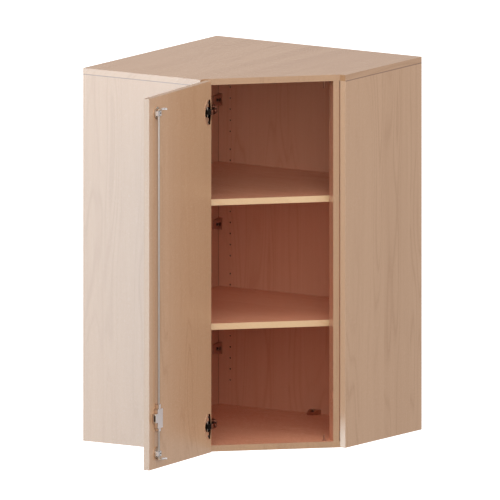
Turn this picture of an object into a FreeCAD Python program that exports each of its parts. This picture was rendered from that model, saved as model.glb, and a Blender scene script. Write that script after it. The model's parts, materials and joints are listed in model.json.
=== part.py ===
"""Hanging corner wall cabinet with a diagonal front door, loose shelves and a rod lock.

Millimetres, +Z up. The origin is the room corner at the cabinet's underside: +X runs along the right
wall and -Y along the left wall. The door is drawn standing open.

Pieces of the front are first drawn in the "front frame": x runs along the diagonal front from the hinge
side to the lock side, y runs from the front towards the room corner, and z is up.
"""
import FreeCAD, Part
import math
import os

from FreeCAD import Vector

# ---- driving dimensions ----
WALL = 700.0            # length of the cabinet along each wall
HEIGHT = 1080.0
SIDE_DEPTH = 400.0      # how far the side panels stand out from the walls
BOARD = 18.0            # thickness of every board
BAND = 1.0              # edge banding
STILE_DEPTH = 55.0      # upright boards at both ends of the front
STILE_OUTER = 197.4     # front-frame x of a stile's outer face
SHELF_TOPS = (360.0, 720.0)
SHELF_SETBACK = 66.0    # shelf front edge behind the cabinet's front
SHELF_GAP = 1.0
HOLE_PITCH = 32.0       # shelf hole rows
HOLE_GROUPS = (154.0, 334.0, 514.0, 694.0, 874.0)
HOLES_IN_GROUP = 5
PIN_RADIUS = 2.5
HOLE_DEPTH = 11.0
ROW_OFFSET = 40.0       # shelf hole row from the inner corner
FRONT_ROW_OFFSET = 252.0

DOOR_WIDTH = 377.0
DOOR_BOTTOM = 2.0
DOOR_TOP = 1078.0
DOOR_GAP = 1.8          # closed door's inner face in front of the cabinet
DOOR_OPEN = 130.0       # degrees, as drawn
PIVOT_BESIDE = 1.7      # effective hinge axis: beside the door's hinge edge
PIVOT_BELOW_FACE = 12.1  # and this far outside the door's inner face
HINGE_HEIGHTS = (79.0, 989.0)
CUP_CENTRE = 22.5       # from the door's hinge edge
CUP_RADIUS = 17.5
CUP_DEPTH = 12.5
CUP_WALL = 1.0
FLANGE = 1.2

PLATE_MIDDLE = 31.0     # mounting plate's screws, behind the front
PLATE_SCREW_HEIGHT = 16.0
PLATE_SCREW_RADIUS = 2.6
PLATE_THREAD = 11.0
PLATE_THICKNESS = 3.0
EAR_SCREW_HEIGHT = 28.0
EAR_SCREW_BESIDE = 4.5  # the ear screws stand nearer the door's edge than the cup's centre
EAR_SCREW_RADIUS = 2.0
EAR_THREAD = 12.0

CONNECTOR_HEIGHTS = (180.0, 540.0, 900.0)
WALL_HOLE_RADIUS = 3.5
WALL_HOLE_SPACING = 400.0
WALL_HOLE_HEIGHT = 1020.0

LOCK_HEIGHT = 148.0     # middle of the lock case
ROD_FROM_HINGE_EDGE = 336.0
ROD_OFF_FACE = 8.8
ROD_RADIUS = 3.0
RUNNING = 0.05          # radial clearance of a running fit
GUIDE_HEIGHTS = (46.5, 1031.5)
HOOK_HEIGHTS = (30.0, 1042.0)
HOOK_ANGLE = 168.0      # front-frame direction of the hooks when unlocked and the door closed
HOOK_REACH = 25.5
HOOK_HALF = 3.5         # half width of the hook's tongue and claw
HOOK_THICKNESS = 5.0
LOCK_TURN = 90.0
KEEPER_RADIUS = 2.5
KEEPER_SPIGOT = 10.0    # how far a keeper post goes into its panel
CATCH_GAP = 0.5         # between the locked hook and its keeper
GUIDE_FOOT = 4.0
GUIDE_SHIFT = 3.0       # the guide's middle, beside the rod
GUIDE_SCREW_HEIGHT = 13.8
GUIDE_SCREW_RADIUS = 1.8
GUIDE_THREAD = 10.0

CASE_FROM_HINGE_EDGE = (317.0, 348.0)
CASE_HEIGHT = 56.0
CASE_DEPTH = 12.5
HOUSING_FROM_HINGE_EDGE = 360.0
HOUSING_HEIGHT = 26.0
BOLT_DEPTH = 5.0
BOLT_HEIGHT = 18.0
BOLT_LENGTH = 12.0
BOLT_OFF_FACE = 8.0
BOLT_RISE = 2.5         # the bolt's middle above the middle of the case
BOLT_BACK = 1.5         # drawn-back bolt behind the housing's end
BOLT_SLACK = 0.15
MORTISE_SLACK = 0.8
MORTISE_DEPTH = 5.0
KEY_FROM_HINGE_EDGE = 325.0
BARREL_RADIUS = 8.0
PLUG_RADIUS = 5.5
ROSETTE_RADIUS = 13.0
ROSETTE = 2.5

# ---- places that follow from them ----
ROOT2 = math.sqrt(2.0)
INNER = BOARD
FRONT = (WALL - BOARD + SIDE_DEPTH) / ROOT2     # distance from the room corner to the front plane
STILE_INNER = STILE_OUTER - BOARD
DOOR_LEFT = -DOOR_WIDTH / 2
DOOR_FACE = -(FRONT + DOOR_GAP)                 # front-frame y of the closed door's inner face
PIVOT = Vector(DOOR_LEFT - PIVOT_BESIDE, DOOR_FACE - PIVOT_BELOW_FACE, 0)
ROD = Vector(DOOR_LEFT + ROD_FROM_HINGE_EDGE, DOOR_FACE + ROD_OFF_FACE, 0)
KEY = Vector(DOOR_LEFT + KEY_FROM_HINGE_EDGE, 0, LOCK_HEIGHT)
CASE = (DOOR_LEFT + CASE_FROM_HINGE_EDGE[0], DOOR_LEFT + CASE_FROM_HINGE_EDGE[1])
HOUSING_END = DOOR_LEFT + HOUSING_FROM_HINGE_EDGE
BOLT_MIDDLE = LOCK_HEIGHT + BOLT_RISE
UP = Vector(0, 0, 1)
ORIGIN = Vector(0, 0, 0)

# The hinge linkage is a parallelogram: pivot, arm pin, crank end and cup pin are its corners.
ARM_PIN = Vector(-163.0, DOOR_FACE + 9.9, 0)
CUP_PIN = Vector(DOOR_LEFT + 16.0, DOOR_FACE - 4.0, 0)
CRANK_END = ARM_PIN + CUP_PIN - PIVOT
LINK_KNEE = CUP_PIN + Vector(13.0, -1.5, 0)
LINK_PIN_RADIUS = 2.0
CUP_EYE_CLEARANCE = 0.3
EYE_RADIUS = 4.5
CRANK_HALF = 4.0        # half height of the crank
CHEEK_HALF = 7.0        # half height over the link's cheeks
LINK_ROOM = 0.4         # round the closed link, in the cup's rim
FORK_HALF = 7.5         # half height over the arm's fork
LINK_HALF = 3.8         # half width of the link's bars


def box(x0, x1, y0, y1, z0, z1):
    """A block between two corners."""
    return Part.makeBox(x1 - x0, y1 - y0, z1 - z0, Vector(x0, y0, z0))


def prism(points, z0, z1):
    """An upright prism over a flat outline."""
    corners = [Vector(x, y, z0) for x, y in points]
    outline = Part.makePolygon(corners + corners[:1])
    return Part.Face(outline).extrude(Vector(0, 0, z1 - z0))


def cylinder(radius, start, end):
    """A round bar between two points."""
    axis = end - start
    return Part.makeCylinder(radius, axis.Length, start, axis)


def pin(centre, radius, z0, z1):
    """An upright round bar."""
    return cylinder(radius, Vector(centre.x, centre.y, z0), Vector(centre.x, centre.y, z1))


def bar(start, end, half_width, z0, z1):
    """A flat bar between two centres, with round ends."""
    along = (end - start).normalize() * half_width
    side = Vector(-along.y, along.x, 0)
    corners = [start + side, start - side, end - side, end + side]
    web = prism([(p.x, p.y) for p in corners], z0, z1)
    return web.fuse([pin(start, half_width, z0, z1), pin(end, half_width, z0, z1)]).removeSplitter()


def moved(shape, x=0.0, y=0.0, z=0.0):
    """A copy of the shape, shifted."""
    copy = shape.copy()
    copy.translate(Vector(x, y, z))
    return copy


def to_front(shape):
    """Front frame to cabinet frame: the front stands at 45 degrees."""
    copy = shape.copy()
    copy.rotate(ORIGIN, UP, 45.0)
    return copy


def with_door(shape):
    """Closed-door position in the front frame to the open door."""
    copy = shape.copy()
    copy.rotate(PIVOT, UP, -DOOR_OPEN)
    return to_front(copy)


def export(node, shapes):
    """Write one sub-part as STEP; several solids become one group."""
    solids = [solid for shape in shapes for solid in shape.Solids]
    group = solids[0] if len(solids) == 1 else Part.makeCompound(solids)
    group.exportStep("parts/%s.step" % node)


# ---- boards ----

def mirrored(point):
    """The same place on the other wall."""
    return (-point[1], -point[0])


def top_outline(inset):
    """Plan of the top panel, with its front edges drawn in by the inset."""
    front = FRONT - inset
    side_front = -(SIDE_DEPTH - inset)
    corner = (front * ROOT2 + side_front, side_front)
    half = [(0, 0), (WALL, 0), (WALL, side_front), corner]
    return half + [mirrored(p) for p in (half[3], half[2], half[1])]


def bottom_outline(inset):
    """Plan of the bottom panel, held between the sides and the backs."""
    inner_end = WALL - BOARD
    front = FRONT - inset
    corner = (inner_end, inner_end - front * ROOT2)
    half = [(INNER, -INNER), (inner_end, -INNER), corner]
    return half + [mirrored(p) for p in (half[2], half[1])]


def shelf_outline(inset):
    """Plan of a loose shelf, with its front edge drawn in by the inset."""
    near, far = INNER + SHELF_GAP, WALL - BOARD - SHELF_GAP
    reach = (FRONT - SHELF_SETBACK - inset) * ROOT2
    half = [(near, -near), (far, -near), (far, far - reach)]
    return half + [mirrored(p) for p in (half[2], half[1])]


def banded_board(outline, z0, z1):
    """A horizontal board and the band glued to its front edges."""
    board = prism(outline(BAND), z0, z1)
    band = prism(outline(0), z0, z1).cut(board)
    return board, band


def side_panel():
    """Right side panel and its front band."""
    top = HEIGHT - BOARD
    panel = box(WALL - BOARD, WALL, -(SIDE_DEPTH - BAND), 0, 0, top)
    band = box(WALL - BOARD, WALL, -SIDE_DEPTH, -(SIDE_DEPTH - BAND), 0, top)
    return panel, band


def mirror_wall(shape):
    """Mirror a shape from the right wall to the left wall."""
    return shape.mirror(ORIGIN, Vector(1, 1, 0))


def stile():
    """Lock-side stile and its front band, in the front frame."""
    z0, z1 = BOARD, HEIGHT - BOARD
    board = box(STILE_INNER, STILE_OUTER, -FRONT + BAND, -FRONT + STILE_DEPTH, z0, z1)
    band = box(STILE_INNER, STILE_OUTER, -FRONT, -FRONT + BAND, z0, z1)
    return board, band


def mirror_front(shape):
    """Mirror a front-frame shape from the lock side to the hinge side."""
    return shape.mirror(ORIGIN, Vector(1, 0, 0))


# ---- shelf holes and pins ----

def hole_heights():
    """Heights of one row of shelf holes."""
    middle = (HOLES_IN_GROUP - 1) / 2
    steps = [(i - middle) * HOLE_PITCH for i in range(HOLES_IN_GROUP)]
    return [centre + step for centre in HOLE_GROUPS for step in steps]


def shelf_rows():
    """Each row's panel name, mouth at z=0 and direction out of the hole, right-wall half first."""
    end = WALL - BOARD
    return [
        ("back", Vector(INNER + ROW_OFFSET, -INNER, 0), Vector(0, -1, 0)),
        ("back", Vector(end - ROW_OFFSET, -INNER, 0), Vector(0, -1, 0)),
        ("side", Vector(end, -INNER - FRONT_ROW_OFFSET, 0), Vector(-1, 0, 0)),
    ]


def row_of_holes(mouth, out):
    """Drillings of one shelf hole row."""
    mouths = [mouth + UP * z for z in hole_heights()]
    return [cylinder(PIN_RADIUS, place - out * HOLE_DEPTH, place) for place in mouths]


def shelf_pin(mouth, out, height):
    """A pin with a round collar that the shelf rests on."""
    collar_radius, collar, peg = 8.0, 7.0, 10.0
    base = mouth + UP * height
    shape = cylinder(PIN_RADIUS, base - out * peg, base)
    return shape.fuse(cylinder(collar_radius, base, base + out * collar))


def wall_holes():
    """Holes for the screws that fasten the right back panel to the wall."""
    middle = WALL / 2
    xs = (middle - WALL_HOLE_SPACING / 2, middle + WALL_HOLE_SPACING / 2)
    ends = [(Vector(x, -INNER, WALL_HOLE_HEIGHT), Vector(x, 0, WALL_HOLE_HEIGHT)) for x in xs]
    return [cylinder(WALL_HOLE_RADIUS, a, b) for a, b in ends]


# ---- corner connectors ----

def connector():
    """Trapezoid connector in its own frame: joint along z, long leg along x, short leg along y."""
    long_leg, short_leg, lip, shoulder = 30.0, 13.0, 3.5, 12.0
    half_base, half_tip = 18.0, 12.0
    profile = [(0, 0), (long_leg, 0), (long_leg, lip), (shoulder, short_leg), (0, short_leg)]
    wedge = prism(profile, -half_base, half_base)
    plan = [Vector(0, 0, -half_base), Vector(long_leg, 0, -half_tip), Vector(long_leg, 0, half_tip),
            Vector(0, 0, half_base)]
    trapezoid = Part.Face(Part.makePolygon(plan + plan[:1])).extrude(Vector(0, short_leg, 0))
    recess = box(6.0, 22.0, 3.0, short_leg, -5.0, 5.0)
    floor_hole = cylinder(2.1, Vector(14.0, 0, 0), Vector(14.0, 3.0, 0))
    return wedge.common(trapezoid).cut(recess).cut(floor_hole)


def connector_screw():
    """Pan-head screw in the connector's recess."""
    floor = Vector(14.0, 3.0, 0)
    head = cylinder(4.0, floor, floor + Vector(0, 2.4, 0))
    slot = box(13.4, 14.6, 4.4, 5.4, -4.0, 4.0)
    return head.cut(slot).fuse(cylinder(2.1, Vector(14.0, 0, 0), floor))


def connector_places():
    """Corner point, long-leg direction and short-leg direction of the connectors, right-wall half."""
    end, top = WALL - BOARD, HEIGHT - BOARD
    right, out, up, down = Vector(1, 0, 0), Vector(0, -1, 0), UP, UP * -1
    middle = (INNER + end) / 2
    side_middle = -(INNER + SIDE_DEPTH) / 2
    left = right * -1
    places = [(Vector(middle, -INNER, BOARD), out, up), (Vector(middle, -INNER, top), out, down),
              (Vector(end, side_middle, BOARD), left, up), (Vector(end, side_middle, top), left, down)]
    return places + [(Vector(end, -INNER, z), out, left) for z in CONNECTOR_HEIGHTS]


def placed(shape, corner, long_dir, short_dir):
    """Put a shape drawn in the connector's frame at a corner."""
    joint = long_dir.cross(short_dir)
    matrix = FreeCAD.Matrix(
        long_dir.x, short_dir.x, joint.x, corner.x,
        long_dir.y, short_dir.y, joint.y, corner.y,
        long_dir.z, short_dir.z, joint.z, corner.z,
        0, 0, 0, 1)
    copy = shape.copy()
    copy.transformShape(matrix, True)
    return copy


def all_connectors(shape):
    """The shape at every connector place."""
    half = [placed(shape, *place) for place in connector_places()]
    corner = [placed(shape, Vector(INNER, -INNER, z), Vector(0, -1, 0), Vector(1, 0, 0))
              for z in CONNECTOR_HEIGHTS]
    behind = -FRONT + STILE_DEPTH - 20.0
    stile_ends = [placed(shape, Vector(STILE_OUTER, behind, z), direction, Vector(1, 0, 0))
                  for z, direction in ((BOARD, UP), (HEIGHT - BOARD, UP * -1))]
    stiles = [to_front(s) for s in stile_ends] + [to_front(mirror_front(s)) for s in stile_ends]
    return half + [mirror_wall(s) for s in half] + corner + stiles


# ---- hinges, in the front frame at height 0 ----

def hinge_plate():
    """Mounting plate on the stile, with two screw holes."""
    x0, front, back = -STILE_INNER, -FRONT + PLATE_MIDDLE - 19.0, -FRONT + PLATE_MIDDLE + 19.0
    wing, half, thick = 24.0, 9.0, PLATE_THICKNESS
    plate = box(x0, x0 + thick, front, back, -wing, wing)
    rail = box(x0 + thick, x0 + 2 * thick, front, back, -half, half)
    holes = [cylinder(PLATE_SCREW_RADIUS, place, place + Vector(thick, 0, 0))
             for place in plate_screw_places()]
    return plate.fuse(rail).cut(Part.makeCompound(holes)).removeSplitter()


def plate_screw_places():
    """Where the plate's two screws enter the stile."""
    y = -FRONT + PLATE_MIDDLE
    return [Vector(-STILE_INNER, y, z) for z in (-PLATE_SCREW_HEIGHT, PLATE_SCREW_HEIGHT)]


def plate_screws():
    """The plate's two screws, with their threads in the stile."""
    head_radius, head, slot_half = 4.2, 2.0, 0.6
    screws = []
    for start in plate_screw_places():
        seat = start + Vector(PLATE_THICKNESS, 0, 0)
        top = seat + Vector(head, 0, 0)
        slot = box(top.x - head / 2, top.x, top.y - 5.0, top.y + 5.0, top.z - slot_half, top.z + slot_half)
        thread = cylinder(PLATE_SCREW_RADIUS, start - Vector(PLATE_THREAD, 0, 0), seat)
        screws.append(cylinder(head_radius, seat, top).cut(slot).fuse(thread))
    return screws


def plate_drillings():
    """Holes in the stile for the plate's screws."""
    return [cylinder(PLATE_SCREW_RADIUS, place - Vector(PLATE_THREAD, 0, 0), place)
            for place in plate_screw_places()]


def hinge_arm():
    """Arm clipped on the plate, ending in a fork around the arm pin."""
    x0 = -STILE_INNER + 2 * PLATE_THICKNESS
    half = 9.0
    x1 = ARM_PIN.x + EYE_RADIUS + 0.5
    back = -FRONT + 52.0
    body = box(x0, x1, -FRONT + 20.0, back, -half, half)
    hollow = box(x0 + 1.5, x1 - 1.5, -FRONT + 22.0, back - 2.0, -half + 1.5, half - 1.5)
    fork = bar(Vector(ARM_PIN.x, -FRONT + 26.0, 0), ARM_PIN, EYE_RADIUS + 0.5, -FORK_HALF, FORK_HALF)
    arm = body.cut(hollow).fuse(fork.cut(hollow))
    gap = box(-STILE_INNER, x1 + 20.0, -FRONT - 5.0, -FRONT + 22.0, -CRANK_HALF - 0.3, CRANK_HALF + 0.3)
    return arm.cut(gap).cut(arm_pin()).removeSplitter()


def arm_pin():
    """Pin pressed in the arm's fork."""
    return pin(ARM_PIN, LINK_PIN_RADIUS, -FORK_HALF, FORK_HALF)


def crank():
    """Short crank between the arm pin and the link pin, in its closed position."""
    shape = bar(ARM_PIN, CRANK_END, EYE_RADIUS, -CRANK_HALF, CRANK_HALF)
    for centre in (ARM_PIN, CRANK_END):
        shape = shape.cut(pin(centre, LINK_PIN_RADIUS + RUNNING, -CRANK_HALF, CRANK_HALF))
    return shape


def hinge_link():
    """Bent link from the crank to the cup pin, in its closed position."""
    low = CHEEK_HALF
    lower_bar = bar(CRANK_END, LINK_KNEE, LINK_HALF, -low, low)
    upper_bar = bar(LINK_KNEE, CUP_PIN, LINK_HALF, -low, low)
    room = bar(CRANK_END, CRANK_END + (LINK_KNEE - CRANK_END) * 0.45, EYE_RADIUS + 1.5,
               -CRANK_HALF - 0.3, CRANK_HALF + 0.3)
    eye = pin(CUP_PIN, LINK_PIN_RADIUS + CUP_EYE_CLEARANCE, -low, low)
    hole = pin(CRANK_END, LINK_PIN_RADIUS, -low, low)
    return lower_bar.fuse(upper_bar).cut(room).cut(eye).cut(hole).removeSplitter()


def link_pin():
    """Pin pressed in the link's cheeks."""
    return pin(CRANK_END, LINK_PIN_RADIUS, -CHEEK_HALF, CHEEK_HALF)


def cup_centre(depth):
    """Middle of the cup, at a depth into the door from its inner face."""
    return Vector(DOOR_LEFT + CUP_CENTRE, DOOR_FACE - depth, 0)


def cup_drilling():
    """Drilling in the door for the cup."""
    return cylinder(CUP_RADIUS, cup_centre(CUP_DEPTH), cup_centre(0))


def flange_outline():
    """Cup flange: full width around the cup, narrowing to an ear above and below."""
    near, far = DOOR_LEFT + 5.0, DOOR_LEFT + CUP_CENTRE + CUP_RADIUS
    ear_near, ear_far = DOOR_LEFT + 9.0, DOOR_LEFT + 26.0
    half, shoulder = 36.0, 16.0
    return [(near, -shoulder), (ear_near, -half), (ear_far, -half), (far, -shoulder),
            (far, shoulder), (ear_far, half), (ear_near, half), (near, shoulder)]


def hinge_cup():
    """Pressed cup with its flange on the door's inner face."""
    corners = [Vector(x, DOOR_FACE, z) for x, z in flange_outline()]
    flange = Part.Face(Part.makePolygon(corners + corners[:1])).extrude(Vector(0, FLANGE, 0))
    mouth = cylinder(CUP_RADIUS - CUP_WALL, cup_centre(CUP_DEPTH - CUP_WALL), cup_centre(-FLANGE))
    holes = [cylinder(EAR_SCREW_RADIUS, place, place + Vector(0, FLANGE, 0))
             for place in ear_screw_places()]
    room = [bar(start, end, LINK_HALF + LINK_ROOM, -CHEEK_HALF - LINK_ROOM, CHEEK_HALF + LINK_ROOM)
            for start, end in ((CRANK_END, LINK_KNEE), (LINK_KNEE, CUP_PIN))]
    return flange.fuse(cup_drilling()).cut(mouth).cut(Part.makeCompound(holes + room)).removeSplitter()


def ear_screw_places():
    """Where the ear screws enter the door."""
    beside = cup_centre(0) - Vector(EAR_SCREW_BESIDE, 0, 0)
    return [beside + UP * z for z in (-EAR_SCREW_HEIGHT, EAR_SCREW_HEIGHT)]


def ear_screws():
    """Two slotted screws through the flange's ears."""
    head_radius, head, slot_half = 3.8, 1.6, 0.5
    screws = []
    for start in ear_screw_places():
        seat = start + Vector(0, FLANGE, 0)
        top = seat + Vector(0, head, 0)
        slot = box(top.x - 4.0, top.x + 4.0, top.y - head / 2, top.y, top.z - slot_half, top.z + slot_half)
        thread = cylinder(EAR_SCREW_RADIUS, start - Vector(0, EAR_THREAD, 0), seat)
        screws.append(cylinder(head_radius, seat, top).cut(slot).fuse(thread))
    return screws


def ear_drillings():
    """Holes in the door for the ear screws."""
    return [cylinder(EAR_SCREW_RADIUS, place - Vector(0, EAR_THREAD, 0), place)
            for place in ear_screw_places()]


def cup_pin():
    """Pin across the cup that carries the link."""
    reach = CUP_RADIUS - CUP_WALL
    whole = pin(CUP_PIN, LINK_PIN_RADIUS, -reach, reach)
    inside = cylinder(reach, cup_centre(CUP_DEPTH - CUP_WALL), cup_centre(-FLANGE))
    return whole.common(inside)


# ---- rod lock, in the front frame ----

def locking_rod():
    """Round rod running the height of the door."""
    low, high = HOOK_HEIGHTS
    return pin(ROD, ROD_RADIUS, low + HOOK_THICKNESS / 2, high - HOOK_THICKNESS / 2)


def hook_directions(turn):
    """Along the hook's tongue and along its claw, after the rod has turned."""
    angle = math.radians(HOOK_ANGLE - turn)
    along = Vector(math.cos(angle), math.sin(angle), 0)
    return along, Vector(along.y, -along.x, 0)


def rod_hook(height):
    """Hooked end of the rod: a flat tongue with a turned-in claw."""
    claw_length = 6.0
    along, side = hook_directions(0)
    end = ROD + along * HOOK_REACH
    low, high = height - HOOK_THICKNESS / 2, height + HOOK_THICKNESS / 2
    tongue = bar(ROD, end, HOOK_HALF, low, high)
    claw = bar(end, end + side * claw_length, HOOK_HALF, low, high)
    return tongue.fuse(claw).removeSplitter()


def keeper_place():
    """Middle of the post that sits in the crook of the locked hook."""
    along, side = hook_directions(LOCK_TURN)
    clear = HOOK_HALF + KEEPER_RADIUS + CATCH_GAP
    return ROD + along * (HOOK_REACH - clear) + side * clear


def keeper_post(panel_face, hook_height):
    """Upright post with a round collar on a panel's face and a spigot in the panel."""
    collar_radius, collar, past_hook = 6.0, 1.5, 1.5
    towards = 1.0 if hook_height > panel_face else -1.0
    tip = hook_height + towards * (HOOK_THICKNESS / 2 + past_hook)
    low, high = sorted((panel_face - towards * KEEPER_SPIGOT, tip))
    collar_low, collar_high = sorted((panel_face, panel_face + towards * collar))
    post = pin(keeper_place(), KEEPER_RADIUS, low, high)
    return post.fuse(pin(keeper_place(), collar_radius, collar_low, collar_high))


def keeper_drilling(panel_face, towards):
    """Hole in a panel for a keeper post's spigot."""
    low, high = sorted((panel_face, panel_face - towards * KEEPER_SPIGOT))
    return to_front(pin(keeper_place(), KEEPER_RADIUS, low, high))


def bolt_space(x0, x1, slack):
    """The bolt's outline between two places along the front."""
    y, half_depth, half_height = DOOR_FACE + BOLT_OFF_FACE, BOLT_DEPTH / 2 + slack, BOLT_HEIGHT / 2 + slack
    return box(x0, x1, y - half_depth, y + half_depth, BOLT_MIDDLE - half_height, BOLT_MIDDLE + half_height)


def lock_bolt():
    """Dead bolt, drawn back in its housing."""
    end = HOUSING_END - BOLT_BACK
    return bolt_space(end - BOLT_LENGTH, end, 0)


def lock_case():
    """Case with the rod's bore, the bolt's slot and the housing beside it."""
    low, high = LOCK_HEIGHT - CASE_HEIGHT / 2, LOCK_HEIGHT + CASE_HEIGHT / 2
    y1 = DOOR_FACE + CASE_DEPTH
    case = box(CASE[0], CASE[1], DOOR_FACE, y1, low, high)
    housing = box(CASE[1], HOUSING_END, DOOR_FACE, y1,
                  BOLT_MIDDLE - HOUSING_HEIGHT / 2, BOLT_MIDDLE + HOUSING_HEIGHT / 2)
    body = case.fuse(housing).removeSplitter()
    bore = pin(ROD, ROD_RADIUS + RUNNING, low, high)
    chamber = bolt_space(HOUSING_END - BOLT_BACK - BOLT_LENGTH - BOLT_SLACK, HOUSING_END, BOLT_SLACK)
    return body.cut(bore).cut(chamber)


def case_necks():
    """Sleeves that guide the rod above and below the case."""
    low, high = LOCK_HEIGHT - CASE_HEIGHT / 2, LOCK_HEIGHT + CASE_HEIGHT / 2
    below, above = 9.0, 14.0
    sleeves = []
    for z0, z1 in ((low - below, low), (high, high + above)):
        block = box(ROD.x - 6.0, ROD.x + 6.5, DOOR_FACE, ROD.y + 3.6, z0, z1)
        sleeves.append(block.cut(pin(ROD, ROD_RADIUS + RUNNING, z0, z1)))
    return sleeves


def rod_guide(height):
    """Oval foot with a raised block that the rod turns in."""
    half_width, half_height, block_half = 16.0, 18.5, 7.5
    centre = Vector(ROD.x - GUIDE_SHIFT, DOOR_FACE, height)
    oval = Part.Ellipse(centre + Vector(0, 0, half_height), centre + Vector(half_width, 0, 0), centre)
    base = Part.Face(Part.Wire(oval.toShape())).extrude(Vector(0, GUIDE_FOOT, 0))
    block = box(ROD.x - 10.0, ROD.x + 8.0, DOOR_FACE + GUIDE_FOOT, ROD.y + 3.6,
                height - block_half, height + block_half)
    bore = pin(ROD, ROD_RADIUS + RUNNING, height - half_height, height + half_height)
    holes = [cylinder(GUIDE_SCREW_RADIUS, place, place + Vector(0, GUIDE_FOOT, 0))
             for place in guide_screw_places(height)]
    return base.fuse(block).cut(bore).cut(Part.makeCompound(holes)).removeSplitter()


def guide_screw_places(height):
    """Where one guide's two screws enter the door."""
    x = ROD.x - GUIDE_SHIFT
    return [Vector(x, DOOR_FACE, height + z) for z in (-GUIDE_SCREW_HEIGHT, GUIDE_SCREW_HEIGHT)]


def guide_screws(height):
    """Screws of one rod guide, set beside the rod in the oval foot."""
    head_radius, head = 3.0, 1.2
    screws = []
    for start in guide_screw_places(height):
        seat = start + Vector(0, GUIDE_FOOT, 0)
        thread = cylinder(GUIDE_SCREW_RADIUS, start - Vector(0, GUIDE_THREAD, 0), seat)
        screws.append(cylinder(head_radius, seat, seat + Vector(0, head, 0)).fuse(thread))
    return screws


def guide_drillings(height):
    """Holes in the door for one guide's screws."""
    return [cylinder(GUIDE_SCREW_RADIUS, place - Vector(0, GUIDE_THREAD, 0), place)
            for place in guide_screw_places(height)]


def key_barrel():
    """Fixed cylinder through the door with its round escutcheon outside."""
    inner, outer = KEY + Vector(0, DOOR_FACE, 0), KEY + Vector(0, DOOR_FACE - BOARD, 0)
    front = outer - Vector(0, ROSETTE, 0)
    body = cylinder(BARREL_RADIUS, outer, inner).fuse(cylinder(ROSETTE_RADIUS, front, outer))
    return body.cut(cylinder(PLUG_RADIUS + RUNNING, front, inner)).removeSplitter()


def key_plug():
    """Turning plug with its key slot."""
    proud, short, slot_depth, slot_half_width, slot_half_height = 0.5, 0.5, 14.0, 0.9, 4.2
    start, end = DOOR_FACE - BOARD - ROSETTE - proud, DOOR_FACE - short
    plug = cylinder(PLUG_RADIUS, KEY + Vector(0, start, 0), KEY + Vector(0, end, 0))
    slot = box(KEY.x - slot_half_width, KEY.x + slot_half_width, start, start + slot_depth,
               LOCK_HEIGHT - slot_half_height, LOCK_HEIGHT + slot_half_height)
    return plug.cut(slot)


def mortise():
    """Pocket in the lock stile for the bolt."""
    return bolt_space(STILE_INNER, STILE_INNER + MORTISE_DEPTH, MORTISE_SLACK)


# ---- door leaf ----

def door_boards():
    """Door leaf with its drillings, and the four bands around it."""
    outer = DOOR_FACE - BOARD
    x0, x1 = DOOR_LEFT, DOOR_LEFT + DOOR_WIDTH
    leaf = box(x0 + BAND, x1 - BAND, outer, DOOR_FACE, DOOR_BOTTOM + BAND, DOOR_TOP - BAND)
    drillings = []
    for z in HINGE_HEIGHTS:
        drillings += [moved(tool, z=z) for tool in [cup_drilling()] + ear_drillings()]
    for z in GUIDE_HEIGHTS:
        drillings += guide_drillings(z)
    drillings.append(cylinder(BARREL_RADIUS, KEY + Vector(0, outer, 0), KEY + Vector(0, DOOR_FACE, 0)))
    leaf = leaf.cut(Part.makeCompound(drillings))
    bands = [box(x0, x0 + BAND, outer, DOOR_FACE, DOOR_BOTTOM, DOOR_TOP),
             box(x1 - BAND, x1, outer, DOOR_FACE, DOOR_BOTTOM, DOOR_TOP),
             box(x0 + BAND, x1 - BAND, outer, DOOR_FACE, DOOR_BOTTOM, DOOR_BOTTOM + BAND),
             box(x0 + BAND, x1 - BAND, outer, DOOR_FACE, DOOR_TOP - BAND, DOOR_TOP)]
    return leaf, bands


# ---- build and write every sub-part ----

def write_boards():
    """Carcass boards, their bands and the shelf pins."""
    top, top_band = banded_board(top_outline, HEIGHT - BOARD, HEIGHT)
    bottom, bottom_band = banded_board(bottom_outline, 0, BOARD)
    side, side_band = side_panel()
    back = box(0, WALL - BOARD, -BOARD, 0, 0, HEIGHT - BOARD)
    drillings = {"back": wall_holes(), "side": []}
    for panel, mouth, out in shelf_rows():
        drillings[panel] += row_of_holes(mouth, out)
    side = side.cut(Part.makeCompound(drillings["side"]))
    back = back.cut(Part.makeCompound(drillings["back"]))
    left_back = mirror_wall(back).cut(box(0, BOARD, -BOARD, 0, 0, HEIGHT))
    top_drilling = keeper_drilling(HEIGHT - BOARD, -1.0)
    bottom_drilling = keeper_drilling(BOARD, 1.0)
    export("top_panel", [top.cut(top_drilling)])
    export("top_edge_band", [top_band])
    export("bottom_panel", [bottom.cut(bottom_drilling)])
    export("bottom_edge_band", [bottom_band])
    export("right_side_panel", [side])
    export("left_side_panel", [mirror_wall(side)])
    export("side_edge_bands", [side_band, mirror_wall(side_band)])
    export("right_back_panel", [back])
    export("left_back_panel", [left_back])


def write_shelves():
    """Loose shelves, their front bands and the pins they rest on."""
    pins = []
    for name, top in zip(("lower_shelf", "upper_shelf"), SHELF_TOPS):
        board, band = banded_board(shelf_outline, top - BOARD, top)
        export(name, [board])
        export(name + "_edge_band", [band])
        for _, mouth, out in shelf_rows():
            one = shelf_pin(mouth, out, top - BOARD - 8.0)
            pins += [one, mirror_wall(one)]
    export("shelf_pins", pins)


def write_stiles():
    """Hinge stile and lock stile with their drillings and bands, and the posts the hooks catch."""
    board, band = stile()
    tools = [moved(tool, z=z) for z in HINGE_HEIGHTS for tool in plate_drillings()]
    export("hinge_stile", [to_front(mirror_front(board).cut(Part.makeCompound(tools)))])
    export("lock_stile", [to_front(board.cut(mortise()))])
    export("stile_edge_bands", [to_front(band), to_front(mirror_front(band))])
    posts = [keeper_post(BOARD, HOOK_HEIGHTS[0]), keeper_post(HEIGHT - BOARD, HOOK_HEIGHTS[1])]
    export("keeper_posts", [to_front(post) for post in posts])


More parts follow.
